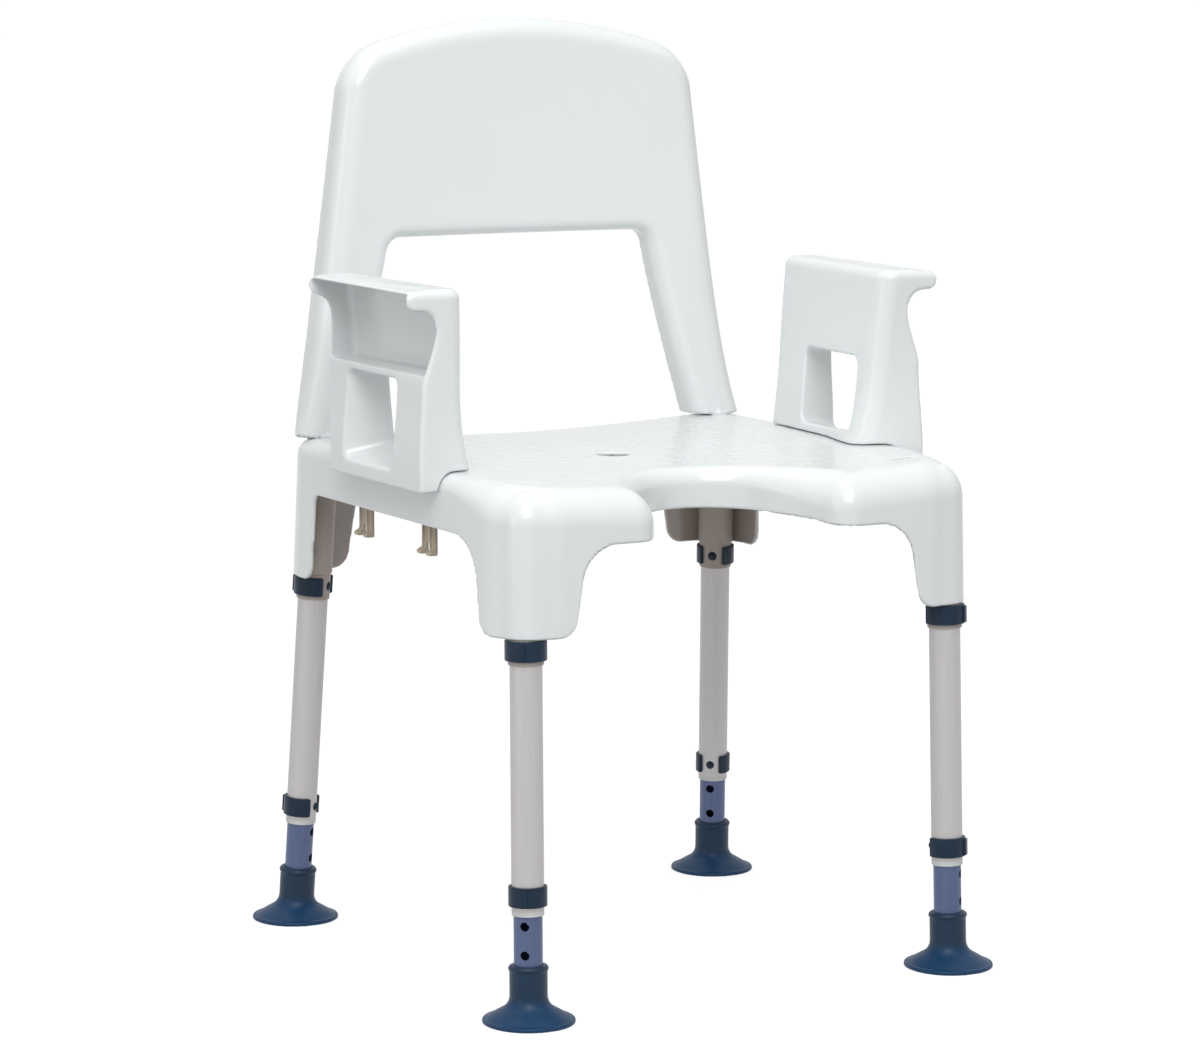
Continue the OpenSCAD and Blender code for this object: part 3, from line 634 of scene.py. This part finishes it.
def latch_part(end):
    low, high = latch_boxes[end]
    middle_y, half_y = (low.y + high.y) / 2, (high.y - low.y) / 2
    plate, nose = low.x + 0.0032, high.x

    def field(x, y, z):
        body = round_and(np.abs(x - low.x - 0.0016) - 0.0016, np.abs(y - middle_y) - half_y, 0.001)
        hook = np.maximum(x - nose, (z - low.z - 0.003) - (nose - x) * 0.6)
        stop = np.maximum((x - plate) - (z - 0.4417) * 0.42, z - 0.4526)
        ribs = np.maximum(x - plate - 0.0022, np.abs(np.abs(y - middle_y) - half_y * 0.55) - 0.0012)
        front = np.minimum(np.minimum(hook, stop), np.maximum(ribs, z - 0.43))
        front = np.maximum(front, np.maximum(low.x + 0.001 - x, np.abs(y - middle_y) - half_y))
        body = soft_or(body, front, 0.0015)
        fork = round_and(np.abs(y - middle_y) - 0.0045, z - low.z - 0.010, 0.0015)
        body = soft_and(body, -fork, 0.001)
        return soft_and(body, np.maximum(low.z - z, z - high.z), 0.0012)

    return skin(field, (low.x - 0.003, low.y - 0.003, low.z - 0.003),
                (high.x + 0.003, high.y + 0.003, high.z + 0.003), 0.0010, rounds=1)


for end in ("front", "rear"):
    tongue = latch_part(end)
    for side in ("left", "right"):
        node = f"latch_{side}_{end}"
        piece(node + "_tongue", [mirrored(tongue) if side == "left" else tongue], latch_cream,
              "armrest_" + side, [node])

# ---- Leg tubes and extensions ----
# Drawn aluminium tube, satin anodised: plain above, and below it a slate blue inner tube with a row of holes
# for the locking pin. The marks of drawing run along the legs. A white ring closes the upper tube's end.
tube_aluminium = finish(
    "tube_aluminium", {"Metallic": 0.45, "Specular IOR Level": 0.4},
    lambda v: {
        "Base Color": blend_colours(v, noise(v, 520.0, 3, (1, 1, 0.02)),
                                    (0.500, 0.478, 0.474), (0.570, 0.548, 0.544)),
        "Roughness": 0.34 + 0.14 * noise(v, 700.0, 3, (1, 1, 0.03)),
        "Normal": bump(v, noise(v, 1500.0, 2, (1, 1, 0.02)), 0.00012, 0.35),
    })
extension_slate = finish(
    "extension_slate", {"Metallic": 0.45},
    lambda v: {
        "Base Color": blend_colours(v, noise(v, 420.0, 3, (1, 1, 0.03)),
                                    (0.070, 0.100, 0.195), (0.112, 0.150, 0.275)),
        "Roughness": 0.30 + 0.16 * noise(v, 600.0, 3, (1, 1, 0.05)),
        "Normal": bump(v, noise(v, 1300.0, 2, (1, 1, 0.03)), 0.00012, 0.35),
    })
ring_white = finish(
    "ring_white", {"IOR": 1.48},
    lambda v: {
        "Base Color": blend_colours(v, noise(v, 90.0, 2), (0.60, 0.61, 0.60), (0.68, 0.69, 0.68)),
        "Roughness": 0.34 + 0.1 * noise(v, 400.0, 2),
        "Normal": bump(v, noise(v, 900.0, 2), 0.0001, 0.3),
    })
washer_steel = finish(
    "washer_steel", {"Metallic": 1.0},
    lambda v: {
        "Base Color": blend_colours(v, noise(v, 200.0, 3), (0.50, 0.50, 0.50), (0.62, 0.62, 0.61)),
        "Roughness": 0.30 + 0.15 * noise(v, 500.0, 3),
        "Normal": bump(v, noise(v, 1100.0, 2), 0.0001, 0.3),
    })


LEGS = ["front_left", "front_right", "rear_left", "rear_right"]


def repaint(node, material):
    made = frame["nodes"][node]
    if not made.material_slots:
        made.data.materials.append(material)
    for place in made.material_slots:
        place.material = material


for name in LEGS:
    repaint("leg_tube_" + name, tube_aluminium)
    repaint("extension_" + name, extension_slate)
    repaint("end_ring_" + name, ring_white)
    repaint("foot_washer_" + name, washer_steel)

# ---- Locking clips ----
# Navy nylon clips that snap round a leg: an open band, beaded at its two ends, a thumb ridge at the back and a
# round-nosed pin through the leg. The upper ones hold a leg in its socket, the lower ones set its length.
clip_navy = finish(
    "clip_navy", {"IOR": 1.5, "Specular IOR Level": 0.22},
    lambda v: {
        "Base Color": blend_colours(v, noise(v, 150.0, 3), (0.005, 0.016, 0.034), (0.011, 0.031, 0.060)),
        "Roughness": 0.30 + 0.14 * noise(v, 330.0, 3),
        "Normal": bump(v, noise(v, 800.0, 2), 0.0002, 0.4),
    })
clip_tree = bpy.data.node_groups.new("locking_clip", "GeometryNodeTree")
clip_sockets = {}
for label, kind in (("Inner Radius", "Float"), ("Wall", "Float"), ("Height", "Float"), ("Wrap", "Float"),
                    ("Pin Reach", "Float"), ("Material", "Material")):
    clip_sockets[label] = clip_tree.interface.new_socket(
        name=label, in_out="INPUT", socket_type="NodeSocket" + kind).identifier
clip_tree.interface.new_socket(name="Geometry", in_out="OUTPUT", socket_type="NodeSocketGeometry")
given = clip_tree.nodes.new("NodeGroupInput")


def grow(kind, settings=None, **sockets):
    """Adds a node to the clip's tree, with its settings and its sockets' values or links."""
    made = clip_tree.nodes.new(kind)
    for name, value in (settings or {}).items():
        setattr(made, name, value)
    for name, value in sockets.items():
        place = made.inputs[int(name[1:])] if name[0] == "_" else made.inputs[name.replace("_", " ")]
        if isinstance(value, bpy.types.NodeSocket):
            clip_tree.links.new(value, place)
        else:
            place.default_value = value
    return made.outputs[0]


def work(operation, a, b):
    return grow("ShaderNodeMath", {"operation": operation}, _0=a, _1=b)


def vector(x, y, z):
    return grow("ShaderNodeCombineXYZ", X=x, Y=y, Z=z)


asked = {label: given.outputs[label] for label in clip_sockets}
band_radius = work("ADD", asked["Inner Radius"], work("MULTIPLY", asked["Wall"], 0.5))
band_line = grow("GeometryNodeCurveArc", {"mode": "RADIUS"}, Resolution=56, Radius=band_radius,
                 Start_Angle=work("MULTIPLY", asked["Wrap"], -0.5), Sweep_Angle=asked["Wrap"])
band_line = grow("GeometryNodeSetCurveNormal", {"mode": "Z_UP"}, Curve=band_line)
band_section = grow("GeometryNodeCurvePrimitiveQuadrilateral", Width=asked["Wall"], Height=asked["Height"])
band_section = grow("GeometryNodeFilletCurve", {"mode": "POLY"}, Curve=band_section, Count=4,
                    Radius=work("MULTIPLY", asked["Wall"], 0.32))
band = grow("GeometryNodeCurveToMesh", Curve=band_line, Profile_Curve=band_section, Fill_Caps=True)
bead_height = work("SUBTRACT", asked["Height"], 0.0016)
bead = grow("GeometryNodeMeshCylinder", Vertices=18, Radius=work("MULTIPLY", asked["Wall"], 0.68),
            Depth=bead_height)
bead_ends = grow("GeometryNodeCurveToPoints", {"mode": "COUNT"}, Curve=band_line, Count=2)
beads = grow("GeometryNodeInstanceOnPoints", Points=bead_ends, Instance=bead)
half_height = work("MULTIPLY", bead_height, 0.46)
ridge_x = work("ADD", asked["Inner Radius"], work("ADD", asked["Wall"], 0.0001))
ridge_line = grow("GeometryNodeCurvePrimitiveLine", End=vector(ridge_x, 0.0, half_height),
                  Start=vector(ridge_x, 0.0, work("MULTIPLY", half_height, -1.0)))
ridge_section = grow("GeometryNodeCurvePrimitiveQuadrilateral", Width=0.0030, Height=0.0078)
ridge_section = grow("GeometryNodeFilletCurve", {"mode": "POLY"}, Curve=ridge_section, Count=4, Radius=0.0011)
ridge = grow("GeometryNodeCurveToMesh", Curve=ridge_line, Profile_Curve=ridge_section, Fill_Caps=True)
pin_radius = 0.0039
pin_tip = vector(work("SUBTRACT", pin_radius, asked["Pin Reach"]), 0.0, 0.0)
pin_line = grow("GeometryNodeCurvePrimitiveLine", Start=pin_tip, End=vector(band_radius, 0.0, 0.0))
pin_section = grow("GeometryNodeCurvePrimitiveCircle", {"mode": "RADIUS"}, Resolution=24, Radius=pin_radius)
pin = grow("GeometryNodeCurveToMesh", Curve=pin_line, Profile_Curve=pin_section, Fill_Caps=True)
nose = grow("GeometryNodeMeshUVSphere", Segments=24, Rings=14, Radius=pin_radius)
nose = grow("GeometryNodeTransform", Geometry=nose, Translation=pin_tip)
joined = clip_tree.nodes.new("GeometryNodeJoinGeometry")
for part in (band, beads, ridge, pin, nose):
    clip_tree.links.new(part, joined.inputs[0])
whole = grow("GeometryNodeRealizeInstances", Geometry=joined.outputs[0])
whole = grow("GeometryNodeSetMaterial", Geometry=whole, Material=asked["Material"])
clip_tree.links.new(whole, clip_tree.nodes.new("NodeGroupOutput").inputs[0])


def clip_mesh(inner_radius):
    blank = bpy.data.objects.new("clip_blank", bpy.data.meshes.new("clip_blank"))
    bpy.context.scene.collection.objects.link(blank)
    maker = blank.modifiers.new("clip", "NODES")
    maker.node_group = clip_tree
    sizes = {"Inner Radius": inner_radius, "Wall": 0.0026, "Height": 0.0175, "Wrap": math.radians(276),
             "Pin Reach": 0.017, "Material": clip_navy}
    for label, size in sizes.items():
        maker[clip_sockets[label]] = size
    evaluated = blank.evaluated_get(bpy.context.evaluated_depsgraph_get())
    made = bpy.data.meshes.new_from_object(evaluated)
    bpy.data.objects.remove(blank)
    made.shade_smooth()
    made.set_sharp_from_angle(angle=math.radians(38))
    return made


clip_blanks = {"upper": clip_mesh(0.0156), "lower": clip_mesh(0.01415)}
for name in LEGS:
    foot, up = leg_line(name)
    for level, blank in clip_blanks.items():
        node = f"{level}_clip_{name}"
        outward = slides[node + "_pull"].normalized()
        height = clip_height(node, (foot, up))
        place = Matrix((outward, up.cross(outward), up)).transposed().to_4x4()
        mesh = blank.copy()
        mesh.transform(Matrix.Translation(foot + up * height) @ place)
        clip = bpy.data.objects.new(node + "_snap", mesh)
        bpy.context.scene.collection.objects.link(clip)
        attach(clip, node)
        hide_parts(node)

# ---- Suction feet ----
# Soft blue rubber, moulded in one: a broad cup that stands level, hollow beneath, and a sleeve that follows the
# leg's lean and grips the extension. The colour turns darker and greyer with height, from the cup up to the
# sleeve.
foot_rubber = finish(
    "foot_rubber", {"IOR": 1.5, "Specular IOR Level": 0.25, "Coat Weight": 0.05, "Coat Roughness": 0.25},
    lambda v: {
        "Base Color": blend_colours(
            v, v.node("MapRange", {}, {"Value": v.node("SeparateXYZ", {}, {0: v.node("TexCoord", out=3)}, out=2),
                                       "From Min": 0.015, "From Max": 0.024, "To Min": 0.0, "To Max": 1.0})
            * 0.86 + noise(v, 240.0, 3) * 0.14, (0.003, 0.040, 0.110), (0.009, 0.030, 0.062)),
        "Roughness": 0.34 + 0.16 * noise(v, 380.0, 3),
        "Normal": bump(v, noise(v, 1000.0, 3), 0.0002, 0.4),
    })


def foot_part(name):
    line = leg_line(name)
    foot = line[0]

    def field(x, y, z):
        along, off = along_and_off(x, y, z, line)
        radius = np.hypot(x - foot.x, y - foot.y)
        cone = (z - 0.0024 - (0.0392 - radius) * 0.66 + 26 * np.maximum(0.0392 - radius, 0) ** 2 * 0.12) * 0.83
        cup = round_and(cone, radius - 0.0399, 0.0011)
        cup = np.maximum(np.maximum(cup, z - 0.0175), -z)
        bead = np.hypot(radius - 0.0385, z - 0.0022) - 0.0015
        cup = soft_or(cup, np.maximum(bead, -z), 0.0012)
        sleeve = round_and(off - 0.0164, along - 0.0498, 0.0016)
        sleeve = np.maximum(sleeve, 0.006 - z)
        collar = np.hypot(off - 0.0158, along - 0.0468) - 0.0016
        solid = soft_or(cup, soft_or(sleeve, collar, 0.0015), 0.007)
        hollow = (z - 0.0085 * np.maximum(1 - radius / 0.0368, -0.2)) * 0.95
        solid = soft_and(solid, -hollow, 0.0008)
        return soft_and(solid, -np.maximum(off - 0.01250, 0.0140 - along), 0.0008)

    return skin(field, (foot.x - 0.0425, foot.y - 0.0425, -0.0025),
                (foot.x + 0.0425, foot.y + 0.0425, 0.0535), 0.0012)


for name in LEGS:
    piece(f"suction_foot_{name}_rubber", [foot_part(name)], foot_rubber, "extension_" + name,
          ["suction_foot_" + name])
